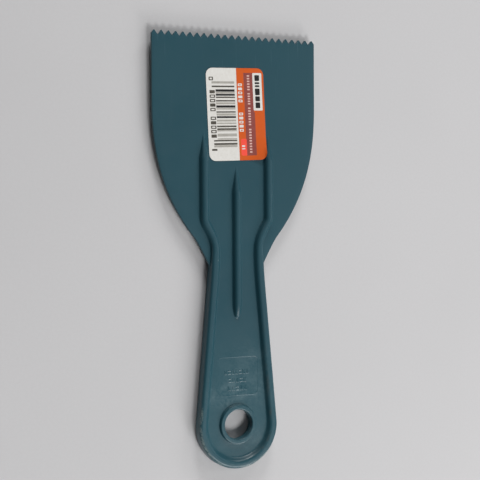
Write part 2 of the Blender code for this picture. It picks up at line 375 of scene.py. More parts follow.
def planform():
    pts, _ = offset_track(lambda s: np.full_like(s, RIM_OUT))
    start = BLADE_LINE[-1, 1] + 0.12
    pts = pts[(pts[:, 1] > start) & (TRACK[:, 1] > 92)]
    pts[-1, 0] = 0.0
    right = pts
    left = (pts[:-1] * (-1, 1))[::-1]
    return np.concatenate([BLADE_LINE, right, left])


OUTLINE = planform()


def inside(points, poly):
    x, y = points[:, 0], points[:, 1]
    a, b = poly, np.roll(poly, -1, 0)
    out = np.zeros(len(points), bool)
    for i in range(0, len(points), 5000):
        px, py = x[i:i + 5000, None], y[i:i + 5000, None]
        up = (a[:, 1] > py) != (b[:, 1] > py)
        xx = a[:, 0] + (py - a[:, 1]) / np.where(b[:, 1] == a[:, 1], 1e-9, b[:, 1] - a[:, 1]) * (b[:, 0] - a[:, 0])
        out[i:i + 5000] = (np.count_nonzero(up & (px < xx), axis=1) % 2) == 1
    return out


EDGE_ROUND = 0.25


def faces_height(p, upper, info=False):
    """Height above (or below) the mid plane at plan points (x, station)."""
    x, s = p[:, 0], p[:, 1]
    ax = np.stack([np.abs(x), s], 1)
    d, side, q = nearest(ax, TRACK)
    u = -side * d
    web = web_half(s)
    e, _, _ = nearest(p, BLADE_LINE)
    r = EDGE_ROUND
    near = np.clip(r - e, 0, r)
    z = web - (r - np.sqrt(np.maximum(r * r - near * near, 0)))
    if upper:
        z = z + marks(x, s)
    z = smax(z, track_height(u, q[:, 1]), 0.45)
    z = smax(z, centre_height(x, s), 0.45)
    rr = np.hypot(x, s - HOLE_S)
    z = np.where(rr < BOSS_R + 1.2, smax(z, boss_height(rr, s), 0.3), z)
    lip = HOLE_R + 0.45
    if info:
        return z, u, q[:, 1], rr
    return z


class Plan:
    """Collects plan vertices and constraint edges for the triangulation."""

    def __init__(self):
        self.v, self.e = [], []
        self.n = 0

    def line(self, pts, closed=False):
        pts = np.asarray(pts, float)
        if len(pts) < 2:
            return
        i = np.arange(self.n, self.n + len(pts))
        self.v.append(pts)
        self.e.append(np.stack([i[:-1], i[1:]], 1))
        if closed:
            self.e.append(np.array([[i[-1], i[0]]]))
        self.n += len(pts)

    def dots(self, pts):
        self.v.append(np.asarray(pts, float))
        self.n += len(pts)

    def runs(self, pts, ok):
        """Lines through the stretches where ok holds."""
        start = None
        for i, k in enumerate(list(ok) + [False]):
            if k and start is None:
                start = i
            elif not k and start is not None:
                if i - start > 1:
                    self.line(pts[start:i])
                start = None


def circle(r, n, cx=0.0, cs=0.0):
    a = np.arange(n) / n * 2 * math.pi
    return np.stack([cx + r * np.cos(a), cs + r * np.sin(a)], 1)


def densify(loop, step):
    """Closed loop with its long sides split."""
    out = []
    for a, b in zip(loop, np.roll(loop, -1, 0)):
        n = max(1, int(np.ceil(np.linalg.norm(b - a) / step)))
        out += [a + (b - a) * i / n for i in range(n)]
    return np.array(out)


def round_rect(cx, cs, hw, hh, r, n):
    """Rounded rectangle loop, n points in each corner."""
    out = []
    for k, (sx, ss) in enumerate(((1, 1), (-1, 1), (-1, -1), (1, -1))):
        a = np.linspace(k * math.pi / 2, (k + 1) * math.pi / 2, n)
        out.append(np.stack([cx + sx * (hw - r) + r * np.cos(a),
                             cs + ss * (hh - r) + r * np.sin(a)], 1))
    return np.concatenate(out)


def build_plan(upper):
    plan = Plan()
    plan.line(OUTLINE, closed=True)
    for e in (0.03, 0.09, 0.17, 0.25):
        line = inset(BLADE_LINE, e)
        plan.line(line)
    # track rows
    scale = lambda s: np.maximum(ramp(s, RIB_TIP, RIB_FULL), 0.24)
    outer = (0.25, 0.5, 0.72, 0.86, 1.0, 1.12, 1.24, 1.36, 1.5, 1.64, 1.76, 1.85, 1.91,
             1.97, 2.06, 2.18, 2.32, 2.5)
    inner = (0.25, 0.5, 0.68, 0.82, 0.96, 1.1, 1.24, 1.38, 1.52, 1.66, 1.8, 1.92, 2.04,
             2.18, 2.34, 2.52, 2.72, 2.95, 3.25)
    ok_tip = lambda t: t[:, 1] > 41.2
    for u in outer + tuple(-v for v in inner) + (0.0,):
        pts, ok = offset_track(lambda s: u * scale(s), ok_tip)
        if u > RIM_OUT - 0.001:
            ok &= TRACK[:, 1] < 99.0
        plan.runs(pts, ok)
        left = pts * (-1, 1)
        plan.runs(left, ok)
    # centre rib rows
    a, b, c, d = CENTRE_RIB
    s = np.concatenate([np.arange(a - 0.9, b, 0.4), np.arange(b, c, 0.9), np.arange(c, d + 1.0, 0.4)])
    cs = np.maximum(centre_scale(s), 0.24)
    for u in (0.0,) + inner:
        for sign in ((1,) if u == 0 else (1, -1)):
            plan.line(np.stack([sign * u * cs, s], 1))
    # boss and hole
    for r in (0.0, 0.02, 0.07, 0.15, 0.27, 0.42, 0.6):
        plan.line(circle(HOLE_R + r, 128, 0, HOLE_S), closed=True)
    for r in (-1.0, -0.65, -0.5, -0.4, -0.31, -0.23, -0.15, -0.07, 0.0, 0.08, 0.18, 0.3, 0.5):
        plan.line(circle(BOSS_R + r, 128, 0, HOLE_S), closed=True)
    if upper:
        cx, cs_, hw, hh, r = INSERT
        for o in (-0.36, -0.22, -0.12, -0.05, 0.02, 0.1, 0.2, 0.34):
            plan.line(densify(round_rect(cx, cs_, hw + o, hh + o, r + o, 7), 1.0), closed=True)
        for sx, ss, sw, sh in STROKES:
            for o in (-0.07, 0.02, 0.14, 0.26):
                plan.line(round_rect(sx, ss, sw + o, sh + o, 0.12 + o, 3), closed=True)
    # filler on the flats, kept off the feature lines
    v = np.concatenate(plan.v)
    step = 1.5
    gx = np.arange(-38, 38.1, step)
    gs = np.arange(0.5, LENGTH, step * 0.866)
    fill = np.array([(x + (0.5 * step if k % 2 else 0.0), q) for k, q in enumerate(gs) for x in gx])
    fill = fill[inside(fill, OUTLINE)]
    cell = 0.9
    keys = set()
    for x, q in v:
        keys.add((int(math.floor(x / cell)), int(math.floor(q / cell))))
    keep = []
    for x, q in fill:
        i, j = int(math.floor(x / cell)), int(math.floor(q / cell))
        keep.append(not any((i + di, j + dj) in keys for di in (-1, 0, 1) for dj in (-1, 0, 1)))
    fill = fill[np.array(keep)]
    plan.dots(fill)
    return np.concatenate(plan.v), np.concatenate(plan.e)


def triangulate(v, e):
    out = delaunay_2d_cdt([Vector(p) for p in v], [tuple(int(k) for k in r) for r in e], [], 0, 1e-5, False)
    pv = np.array([(p[0], p[1]) for p in out[0]])
    tri = np.array([f for f in out[2] if len(f) == 3], int)
    c = pv[tri].mean(1)
    a = pv[tri]
    area = 0.5 * ((a[:, 1, 0] - a[:, 0, 0]) * (a[:, 2, 1] - a[:, 0, 1]) - (a[:, 1, 1] - a[:, 0, 1]) * (a[:, 2, 0] - a[:, 0, 0]))
    ok = inside(c, OUTLINE) & (np.hypot(c[:, 0], c[:, 1] - HOLE_S) > HOLE_R * 0.9995) & (np.abs(area) > 1e-9)
    tri = tri[ok]
    flip = area[ok] < 0
    tri[flip] = tri[flip][:, ::-1]
    used = np.unique(tri)
    remap = np.full(len(pv), -1)
    remap[used] = np.arange(len(used))
    return pv[used], remap[tri]


# ---- the moulding ---------------------------------------------------------------
def hash_noise(p, cell, seed):
    """Smooth value noise in -1..1 on the plan."""
    q = p / cell
    i = np.floor(q).astype(int)
    f = q - i
    f = f * f * (3 - 2 * f)

    def h(ix, iy):
        n = (ix * 73856093 ^ iy * 19349663 ^ seed * 83492791) & 0x7FFFFFFF
        n = (n * 1103515245 + 12345) & 0x7FFFFFFF
        n = ((n >> 13) ^ n) * 60493 & 0x7FFFFFFF
        return (n % 20011) / 10005.5 - 1.0

    x, y = i[:, 0], i[:, 1]
    a = h(x, y) * (1 - f[:, 0]) + h(x + 1, y) * f[:, 0]
    b = h(x, y + 1) * (1 - f[:, 0]) + h(x + 1, y + 1) * f[:, 0]
    return a * (1 - f[:, 1]) + b * f[:, 1]


def bump_zone(x, s, u):
    """Where the rim's outer shoulder is knocked about: lower left and butt."""
    ang = np.degrees(np.arctan2(s - CIRCLE_S, -x))          # 0 left side, 90 butt
    along = smoothstep(-38, -12, ang) * smoothstep(175, 120, ang)
    return along * np.exp(-((u - 1.45) / 0.42) ** 2) * (s > 150)


def half_body(upper):
    v, e = build_plan(upper)
    p, tri = triangulate(v, e)
    z, u, ts, rr = faces_height(p, upper, True)
    zone = bump_zone(p[:, 0], p[:, 1], u) if upper else np.zeros(len(p))
    nick = np.maximum(hash_noise(p, 0.55, 3) * 0.6 + hash_noise(p, 0.23, 7) * 0.4 - 0.12, 0)
    z = z - zone * nick * 0.22
    # a moulded blade is never dead flat: a few hundredths of slow waviness
    wave = 0.03 * hash_noise(p, 17.0, 11) + 0.015 * hash_noise(p, 7.0, 5)
    z = z + wave * smoothstep(2.6, 1.6, z) * (0.6 if upper else 0.6)
    z = np.minimum(z, HALF_T)
    return p, tri, z, u, ts, zone


def body_mesh():
    pu, tu, zu, uu, su, wu = half_body(True)
    pl, tl, zl, ul, sl, wl = half_body(False)

    def rim_edges(tri):
        e = np.concatenate([tri[:, [0, 1]], tri[:, [1, 2]], tri[:, [2, 0]]])
        key = np.sort(e, 1)
        _, inv, cnt = np.unique(key, axis=0, return_inverse=True, return_counts=True)
        return e[cnt[inv.ravel()] == 1]

    eu, el = rim_edges(tu), rim_edges(tl)
    # both faces share the plan outline, so their border points pair up
    bu, bl = np.unique(eu), np.unique(el)
    keyed = {(round(x, 4), round(s, 4)): int(i) for i, (x, s) in zip(bl, pl[bl])}
    pair = {}
    for i in bu:
        k = (round(pu[i, 0], 4), round(pu[i, 1], 4))
        j = keyed.get(k)
        if j is None:
            d = np.hypot(*(pl[bl] - pu[i]).T)
            j = int(bl[d.argmin()])
        pair[int(i)] = j
    n = len(pu)
    y = lambda s: TIP_Y - s
    co = np.concatenate([
        np.stack([pu[:, 0], y(pu[:, 1]), MID_Z + zu], 1),
        np.stack([pl[:, 0], y(pl[:, 1]), MID_Z - zl], 1)]) * MM
    # plan triangles wind clockwise seen from above once station becomes -Y
    faces = [tuple(int(k) for k in t[::-1]) for t in tu]
    faces += [tuple(int(k) + n for k in t) for t in tl]
    for a, b in eu:
        c, d = pair[int(b)] + n, pair[int(a)] + n
        faces.append((int(a), int(b), c, d))
    mesh = bpy.data.meshes.new("spreader_moulding")
    mesh.from_pydata(co.tolist(), [], faces)
    for name, up, lo in (("track_offset", uu, ul), ("track_station", su, sl), ("edge_wear", wu, wl)):
        att = mesh.attributes.new(name, 'FLOAT', 'POINT')
        att.data.foreach_set("value", np.concatenate([up, lo]).astype(np.float32))
    mesh.update()
    bm = bmesh.new()
    bm.from_mesh(mesh)
    loose = [v for v in bm.verts if not v.link_faces]
    bmesh.ops.delete(bm, geom=loose, context='VERTS')
    bmesh.ops.recalc_face_normals(bm, faces=bm.faces)
    open_edges = sum(1 for ed in bm.edges if len(ed.link_faces) != 2)
    print("body mesh: %d verts, %d faces, %d odd edges" % (len(bm.verts), len(bm.faces), open_edges))
    bm.to_mesh(mesh)
    bm.free()
    mesh.shade_smooth()
    return mesh


def add(name, mesh, mat):
    ob = bpy.data.objects.new(name, mesh)
    bpy.context.scene.collection.objects.link(ob)
    mesh.materials.append(mat)
    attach(ob, "root")
    return ob


# ---- the size label ----------------------------------------------------------------
PAPER_GAP, PAPER_T, INK = 0.05, 0.10, 0.014
SPLIT = 13.95                      # white panel | coloured panel, from the left
STRIP = (17.28, 2.0, 21.55, 37.0)  # x0, y0, x1, y1 from the top left corner
BOX = (21.45, 2.0, 25.75, 17.95)
TAB = (14.85, 29.85, 17.28, 37.0)
BARS = (   # darkness, top, bottom, long
    (1, 5.65, 6.55, 1), (2, 7.45, 8.10, 1), (3, 9.00, 9.95, 0), (1, 10.05, 10.75, 0),
    (3, 10.90, 11.68, 0), (2, 12.05, 12.62, 0), (2, 13.50, 14.08, 0), (1, 14.45, 15.25, 0),
    (3, 15.70, 16.66, 0), (1, 16.86, 17.45, 0), (2, 18.20, 18.76, 0), (1, 19.10, 19.97, 0),
    (3, 20.25, 21.02, 0), (1, 21.70, 22.45, 0), (1, 22.95, 23.50, 0), (2, 24.20, 24.85, 0),
    (2, 25.30, 26.00, 0), (1, 26.05, 26.58, 0), (1, 27.56, 28.75, 0), (1, 29.50, 30.03, 0),
    (2, 30.20, 30.80, 1), (2, 31.50, 32.25, 1), (1, 32.36, 33.25, 1))


def label_shapes():
    """(colour, kind, x0, y0, x1, y1, corner) in label millimetres, later on top."""
    out = [("orange", SPLIT, -0.5, LABEL_W + 0.5, LABEL_H + 0.5, 0.0)]
    for dark, y0, y1, long_ in BARS:
        x0 = 2.45 if long_ else 4.15
        x1 = 12.78 + 0.011 * y0
        lean = 0.0
        out.append((("", "grey", "dark", "black")[dark], x0, y0, x1, y1, 0.0))
    # plain blocks where the real label has its number, one per character
    rows = [(2.2, 4.5)] + [(9.9 + 1.84 * i, 1.35) for i in range(5)]
    rows = [(4.5, 1.5)] + [(10.0 + 1.86 * i, 1.35) for i in range(5)] + \
           [(21.1 + 1.86 * i, 1.35) for i in range(5)] + [(34.3, 0.8)]
    for i, (yc, h) in enumerate(rows):
        x0, x1 = 1.35, 3.80
        if i == 0:
            x0, x1 = 1.2, 3.2
        out.append(("dark", x0, yc - h / 2, x1, yc + h / 2, 0.25))
        if i % 3 != 1 and h > 1:
            out.append(("paper", x0 + 0.5, yc - h / 2 + 0.38, x1 - 0.5, yc + h / 2 - 0.38, 0.1))
    out.append(("maroon",) + STRIP + (0.0,))
    out.append(("maroon", STRIP[2] - 0.5, 18.5, 21.95, 37.0, 0.9))
    out.append(("red",) + (TAB[0], TAB[1], TAB[2] + 0.6, TAB[3], 0.8))
    out.append(("maroon", 17.55, 29.0, 18.2, 37.0, 0.0))
    out.append(("paper",) + BOX + (0.5,))
    # code words on the orange, printed as plain bars
    for y0, y1, n in ((6.2, 14.7, 5), (18.5, 27.1, 5)):
        pitch = (y1 - y0) / n
        for i in range(n):
            yc = y0 + pitch * (i + 0.5)
            x0, x1 = 14.5, 16.4
            out.append(("paper", x0, yc - pitch * 0.33, x1, yc + pitch * 0.33, 0.22))
            if i % 2 == 0:
                out.append(("orange", x0 + 0.5, yc - pitch * 0.33 + 0.36, x1 - 0.5, yc + pitch * 0.33 - 0.36, 0.1))
    # strip lettering: short plain ticks in word-long groups
    words = ((2.7, 9.6), (10.3, 15.6), (16.4, 24.4), (25.4, 36.1))
    for y0, y1 in words:
        n = max(2, int(round((y1 - y0) / 1.15)))
        pitch = (y1 - y0) / n
        for i in range(n):
            yc = y0 + pitch * (i + 0.5)
            out.append(("pink", 18.85, yc - pitch * 0.27, 20.0, yc + pitch * 0.27, 0.1))
    # the maker's box: a plain solid block with breaks
    for y0, y1 in ((2.9, 5.4), (5.9, 6.7), (7.2, 8.0), (8.6, 11.4), (11.9, 14.0), (14.5, 16.9)):
        out.append(("black", 22.45, y0, 24.65, y1, 0.35))
    # size mark on the tab: one short bar
    out.append(("paper", 15.25, 32.6, 16.75, 33.3, 0.2))
    out.append(("paper", 15.25, 33.8, 16.75, 34.3, 0.15))
    return out


SHAPES = label_shapes()


def rect_loop(x0, y0, x1, y1, r):
    cx, cy, hw, hh = (x0 + x1) / 2, (y0 + y1) / 2, (x1 - x0) / 2, (y1 - y0) / 2
    r = min(r, hw, hh)
    if r < 0.02:
        return np.array([(x0, y0), (x1, y0), (x1, y1), (x0, y1)])
    return round_rect(cx, cy, hw, hh, r, 6 if r < 1 else 14)


def label_surface(x, s):
    """Height of the paper's underside above the mid plane."""
    rise = np.clip(ramp(s, RIB_TIP, RIB_FULL) * HALF_T - web_half(s), 0, None)
    reach = 9.0
    t = np.clip((x - (RIB_X - 0.6 - reach)) / reach, 0, 1)
    lift = 0.62 * rise * np.where(t < 0.5, t * t, t - 0.25) / 0.75
    u = RIB_X - x
    over = track_height(-np.abs(u), s) - web_half(s) + 0.03
    lift = smax(lift, np.where(u < 3.0, over, -1.0), 0.25)
    # corners and edges never stick down perfectly
    curl = 0.10 * np.exp(-(((x + 12.6) / 2.4) ** 2 + ((s - 14.6) / 2.6) ** 2))
    curl = curl + 0.08 * np.exp(-(((x + 11.4) / 2.2) ** 2 + ((s - 52.0) / 2.2) ** 2))
    crease = 0.05 * np.exp(-((s - (44.3 - 0.12 * (x - 8))) / 0.5) ** 2) * smoothstep(3.0, 7.0, x)
    return web_half(s) + PAPER_GAP + lift + curl + crease


def to_part(local):
    """Label millimetres (from its top left corner) to (x, station)."""
    dx, dy = local[:, 0] - LABEL_W / 2, LABEL_H / 2 - local[:, 1]
    c, n = math.cos(LABEL_TURN), math.sin(LABEL_TURN)
    return np.stack([LABEL_X + c * dx - n * dy, LABEL_S - (n * dx + c * dy)], 1)


def prism(name, pts, tri, z0, z1):
    """A closed thin body over the given plan triangles."""
    used = np.unique(tri)
    remap = np.full(len(pts), -1)
    remap[used] = np.arange(len(used))
    t = remap[tri]
    p = pts[used]
    n = len(p)
    y = TIP_Y - p[:, 1]
    co = np.concatenate([np.stack([p[:, 0], y, MID_Z + z1[used]], 1),
                         np.stack([p[:, 0], y, MID_Z + z0[used]], 1)]) * MM
    e = np.concatenate([t[:, [0, 1]], t[:, [1, 2]], t[:, [2, 0]]])
    key = np.sort(e, 1)
    _, inv, cnt = np.unique(key, axis=0, return_inverse=True, return_counts=True)
    border = e[cnt[inv.ravel()] == 1]
    faces = [tuple(int(k) for k in f) for f in t]
    faces += [tuple(int(k) + n for k in f[::-1]) for f in t]
    faces += [(int(b), int(a), int(a) + n, int(b) + n) for a, b in border]
    mesh = bpy.data.meshes.new(name)
    mesh.from_pydata(co.tolist(), [], faces)
    mesh.update()
    bm = bmesh.new()
    bm.from_mesh(mesh)
    bmesh.ops.recalc_face_normals(bm, faces=bm.faces)
    bm.to_mesh(mesh)
    bm.free()
    mesh.shade_smooth()
    mesh.set_sharp_from_angle(angle=math.radians(35))
    return mesh


def label_meshes():
    plan = Plan()
    border = round_rect(LABEL_W / 2, LABEL_H / 2, LABEL_W / 2, LABEL_H / 2, LABEL_R, 14)
    plan.line(densify(border, 0.6), closed=True)
    for c, x0, y0, x1, y1, r in SHAPES:
        plan.line(densify(rect_loop(x0, y0, x1, y1, r), 0.9), closed=True)
    grid = [(x, y) for y in np.arange(0.8, LABEL_H, 0.9) for x in np.arange(0.7, LABEL_W, 0.9)]
    plan.dots(np.array(grid))
    v, e = np.concatenate(plan.v), np.concatenate(plan.e)
    out = delaunay_2d_cdt([Vector(p) for p in v], [tuple(int(k) for k in r) for r in e], [], 0, 1e-4, False)
    p = np.array([(q[0], q[1]) for q in out[0]])
    tri = np.array([f for f in out[2] if len(f) == 3], int)
    a = p[tri]
    area = 0.5 * ((a[:, 1, 0] - a[:, 0, 0]) * (a[:, 2, 1] - a[:, 0, 1]) - (a[:, 1, 1] - a[:, 0, 1]) * (a[:, 2, 0] - a[:, 0, 0]))
    c = a.mean(1)
    d = box_sdf(c[:, 0], c[:, 1], LABEL_W / 2, LABEL_H / 2, LABEL_W / 2, LABEL_H / 2, LABEL_R)
    ok = (d < 0) & (np.abs(area) > 1e-8)
    tri, c = tri[ok], c[ok]
    flip = area[ok] > 0
    tri[flip] = tri[flip][:, ::-1]
    colour = np.full(len(tri), "paper", dtype=object)
    for name, x0, y0, x1, y1, r in SHAPES:
        dd = box_sdf(c[:, 0], c[:, 1], (x0 + x1) / 2, (y0 + y1) / 2, (x1 - x0) / 2, (y1 - y0) / 2, min(r, (x1 - x0) / 2, (y1 - y0) / 2))
        colour[dd < 0] = name
    q = to_part(p)
    z = label_surface(q[:, 0], q[:, 1])
    # paper that climbs the rib draws in sideways a little
    q[:, 0] -= 0.30 * np.clip(z - web_half(q[:, 1]) - 0.3, 0, None)
    meshes = {"paper": prism("label_sheet", q, tri, z, z + PAPER_T)}
    for name in ("orange", "maroon", "red", "grey", "dark", "black", "pink"):
        meshes[name] = prism("label_ink_" + name, q, tri[colour == name], z + PAPER_T - 0.02, z + PAPER_T + INK)
    return meshes


# ---- materials ----------------------------------------------------------------------
def lin(r, g, b):
    """Linear colour from 0-255 display values."""
    out = []
    for v in (r, g, b):
        v /= 255.0
        out.append(v / 12.92 if v <= 0.04045 else ((v + 0.055) / 1.055) ** 2.4)
    return tuple(out) + (1.0,)


class Nodes:
    """A few shorthands for wiring a material."""

    def __init__(self, name):
        self.mat = bpy.data.materials.new(name)
        self.mat.use_nodes = True
        self.t = self.mat.node_tree
        self.bsdf = self.t.nodes["Principled BSDF"]

    def node(self, kind, **props):
        n = self.t.nodes.new(kind)
        for k, v in props.items():
            setattr(n, k, v)
        return n

    def link(self, a, b):
        self.t.links.new(a, b)

    def feed(self, socket, value):
        if hasattr(value, "is_output"):
            self.link(value, socket)
        else:
            socket.default_value = value

    def coords(self, scale=(1, 1, 1), rot=(0, 0, 0), loc=(0, 0, 0)):
        tc = self.node("ShaderNodeTexCoord")
        mp = self.node("ShaderNodeMapping")
        self.link(tc.outputs["Object"], mp.inputs["Vector"])
        mp.inputs["Scale"].default_value = scale
        mp.inputs["Rotation"].default_value = rot
        mp.inputs["Location"].default_value = loc
        return mp.outputs["Vector"]

    def noise(self, scale, detail=3.0, rough=0.55, vec=None, dist=0.0):
        n = self.node("ShaderNodeTexNoise")
        n.inputs["Scale"].default_value = scale
        n.inputs["Detail"].default_value = detail
        n.inputs["Roughness"].default_value = rough
        n.inputs["Distortion"].default_value = dist
        if vec is None:
            vec = self.coords()
        self.link(vec, n.inputs["Vector"])
        return n.outputs["Fac"]

    def voronoi(self, scale, vec=None, feature='F1', rnd=1.0):
        n = self.node("ShaderNodeTexVoronoi", feature=feature)
        n.inputs["Scale"].default_value = scale
        n.inputs["Randomness"].default_value = rnd
        self.link(vec if vec is not None else self.coords(), n.inputs["Vector"])
        return n

    def ramp(self, fac, stops, mode='LINEAR'):
        n = self.node("ShaderNodeMapRange", clamp=True, interpolation_type=mode)
        (a, b), (c, d) = stops
        n.inputs["From Min"].default_value = a
        n.inputs["From Max"].default_value = b
        n.inputs["To Min"].default_value = c
        n.inputs["To Max"].default_value = d
        self.link(fac, n.inputs["Value"])
        return n.outputs["Result"]

    def math(self, op, a, b=None, clamp=False):
        n = self.node("ShaderNodeMath", operation=op, use_clamp=clamp)
        self.feed(n.inputs[0], a)
        if b is not None:
            self.feed(n.inputs[1], b)
        return n.outputs[0]

    def mix(self, fac, a, b):
        n = self.node("ShaderNodeMix", data_type='RGBA')
        self.feed(n.inputs[0], fac)
        self.feed(n.inputs[6], a)
        self.feed(n.inputs[7], b)
        return n.outputs[2]

    def attribute(self, name):
        n = self.node("ShaderNodeAttribute", attribute_name=name)
        return n.outputs["Fac"]

    def axis(self, vec=None):
        n = self.node("ShaderNodeSeparateXYZ")
        self.link(vec if vec is not None else self.coords(), n.inputs[0])
        return n.outputs

    def bump(self, height, strength, distance, under=None):
        n = self.node("ShaderNodeBump")
        n.inputs["Strength"].default_value = strength
        n.inputs["Distance"].default_value = distance
        self.link(height, n.inputs["Height"])
        if under is not None:
            self.link(under, n.inputs["Normal"])
        return n.outputs["Normal"]


def blob(m, xyz, cx, cy, rx, ry, edge=0.5):
    """Soft elliptical mask on the plan, row metres."""
    dx = m.math('DIVIDE', m.math('SUBTRACT', xyz[0], cx), rx)
    dy = m.math('DIVIDE', m.math('SUBTRACT', xyz[1], cy), ry)
    r = m.math('SQRT', m.math('ADD', m.math('MULTIPLY', dx, dx), m.math('MULTIPLY', dy, dy)))
    return m.ramp(r, ((1.0 + edge, 1.0 - edge), (0.0, 1.0)), 'SMOOTHSTEP')


def plastic():
    m = Nodes("teal_moulding")
    xyz = m.axis()
    base = BASE_TEAL
    pale = PALE_TEAL
    deep = DEEP_TEAL
    # slow drift of tone over the whole moulding
    col = m.mix(m.ramp(m.noise(22.0, 3.0), ((0.35, 0.65), (0.0, 1.0))), base, deep)
    # the handle end is a shade paler and flecked where the melt met the insert
    low = m.ramp(xyz[1], ((-0.020, -0.062), (0.0, 1.0)), 'SMOOTHSTEP')
    fleck = m.ramp(m.noise(760.0, 4.0, 0.7), ((0.42, 0.68), (0.0, 1.0)))
    cloud = m.ramp(m.noise(130.0, 3.0, 0.6, dist=0.6), ((0.42, 0.66), (0.0, 1.0)))
    col = m.mix(m.math('MULTIPLY', low, m.math('ADD', m.math('MULTIPLY', fleck, 0.20), 0.22)), col, pale)
    blush = blob(m, xyz, -0.006, -0.0605, 0.0075, 0.0045, 0.6)
    blush = m.math('ADD', blush, m.math('MULTIPLY', blob(m, xyz, 0.004, -0.0545, 0.011, 0.014, 0.5), 0.45))
    blush = m.math('ADD', blush, m.math('MULTIPLY', blob(m, xyz, 0.002, -0.0785, 0.010, 0.0045, 0.6), 0.5), clamp=True)
    blush = m.math('MULTIPLY', blush, m.math('ADD', m.math('MULTIPLY', cloud, 0.6), m.math('MULTIPLY', fleck, 0.4)))
    col = m.mix(m.math('MULTIPLY', blush, 0.55), col, MILKY)
    # worn shoulder of the butt: whitened scratches in short runs
    wear = m.attribute("edge_wear")
    chip = m.ramp(m.noise(1300.0, 4.0, 0.75), ((0.44, 0.58), (0.0, 1.0)))
    runs = m.ramp(m.noise(260.0, 2.0, 0.5), ((0.34, 0.54), (0.0, 1.0)))
    worn = m.math('MULTIPLY', m.math('MULTIPLY', wear, chip), runs)
    col = m.mix(m.math('MULTIPLY', worn, 0.8), col, lin(150, 162, 158))
    # faint drag scratches behind the teeth
    v1 = m.coords(scale=(900, 35, 1), rot=(0, 0, math.radians(58)))
    s1 = m.ramp(m.noise(1.0, 2.0, 0.5, vec=v1), ((0.66, 0.72), (0.0, 1.0)))
    v2 = m.coords(scale=(1100, 28, 1), rot=(0, 0, math.radians(-32)), loc=(3, 5, 0))
    s2 = m.ramp(m.noise(1.0, 2.0, 0.5, vec=v2), ((0.68, 0.735), (0.0, 1.0)))
    tipzone = m.ramp(xyz[1], ((0.072, 0.089), (0.12, 1.0)))
    blade = m.ramp(xyz[1], ((0.006, 0.020), (0.0, 1.0)))
    scr = m.math('MULTIPLY', m.math('MAXIMUM', s1, s2), m.math('MULTIPLY', tipzone, blade))
    col = m.mix(m.math('MULTIPLY', scr, 0.22), col, lin(96, 128, 138))
    # dust caught in the grain
    dots = m.voronoi(330.0)
    spot = m.ramp(dots.outputs["Distance"], ((0.045, 0.10), (1.0, 0.0)))
    few = m.ramp(m.voronoi(330.0).outputs["Color"], ((0.86, 0.90), (0.0, 1.0)))
    col = m.mix(m.math('MULTIPLY', m.math('MULTIPLY', spot, few), 0.38), col, lin(140, 150, 150))
    # brown dirt along the inner shoulder of the right-hand rim and in the rib corners
    u = m.attribute("track_offset")
    shoulder_in = m.ramp(m.math('ABSOLUTE', m.math('ADD', u, 1.0)), ((0.75, 0.2), (0.0, 1.0)), 'SMOOTHSTEP')
    right = m.ramp(xyz[0], ((0.006, 0.010), (0.0, 1.0)))
    grime = m.ramp(m.noise(170.0, 4.0, 0.65), ((0.44, 0.64), (0.0, 1.0)))
    dirt = m.math('MULTIPLY', m.math('MULTIPLY', shoulder_in, right), m.math('MULTIPLY', low, grime))
    col = m.mix(m.math('MULTIPLY', dirt, 0.34), col, lin(92, 84, 76))
    m.link(col, m.bsdf.inputs["Base Color"])
    # sheen varies: matt blade, slightly polished handle rim and boss
    rough = m.ramp(m.noise(90.0, 3.0, 0.6), ((0.3, 0.7), (ROUGH - 0.05, ROUGH + 0.06)))
    rough = m.math('ADD', rough, m.math('MULTIPLY', scr, -0.06))
    rough = m.math('SUBTRACT', rough, m.math('MULTIPLY', low, 0.10))
    m.link(rough, m.bsdf.inputs["Roughness"])
    m.bsdf.inputs["Specular IOR Level"].default_value = 0.42
    m.bsdf.inputs["IOR"].default_value = 1.49
    # grain: a fine spark-eroded finish everywhere, coarser orange peel on the handle
    n1 = m.bump(m.noise(2600.0, 3.0, 0.6), 0.22, 0.00004)
    peel = m.math('MULTIPLY', m.noise(620.0, 3.0, 0.55), m.math('ADD', m.math('MULTIPLY', low, 0.8), 0.25))
    n2 = m.bump(peel, 0.30, 0.00010, n1)
    n3 = m.bump(m.math('MULTIPLY', scr, -1.0), 0.25, 0.00003, n2)
    n4 = m.bump(m.math('MULTIPLY', m.math('MULTIPLY', wear, chip), -1.0), 0.6, 0.00009, n3)
    m.link(n4, m.bsdf.inputs["Normal"])
    return m.mat


def paper():
    m = Nodes("label_face_paper")
    xyz = m.axis()
    fibre = m.ramp(m.noise(900.0, 4.0, 0.6), ((0.35, 0.65), (0.0, 1.0)))
    col = m.mix(fibre, PAPER_A, PAPER_B)
    soil = m.ramp(m.noise(120.0, 4.0, 0.65), ((0.60, 0.80), (0.0, 1.0)))
    col = m.mix(m.math('MULTIPLY', soil, 0.22), col, lin(188, 182, 168))
    spot = m.ramp(m.voronoi(240.0).outputs["Distance"], ((0.03, 0.075), (1.0, 0.0)))
    few = m.ramp(m.voronoi(240.0).outputs["Color"], ((0.88, 0.92), (0.0, 1.0)))
    col = m.mix(m.math('MULTIPLY', m.math('MULTIPLY', spot, few), 0.35), col, lin(120, 112, 100))
    m.link(col, m.bsdf.inputs["Base Color"])
    m.link(m.ramp(m.noise(300.0), ((0.3, 0.7), (0.42, 0.52))), m.bsdf.inputs["Roughness"])
    m.link(m.bump(m.noise(1400.0, 3.0), 0.15, 0.00003), m.bsdf.inputs["Normal"])
    return m.mat


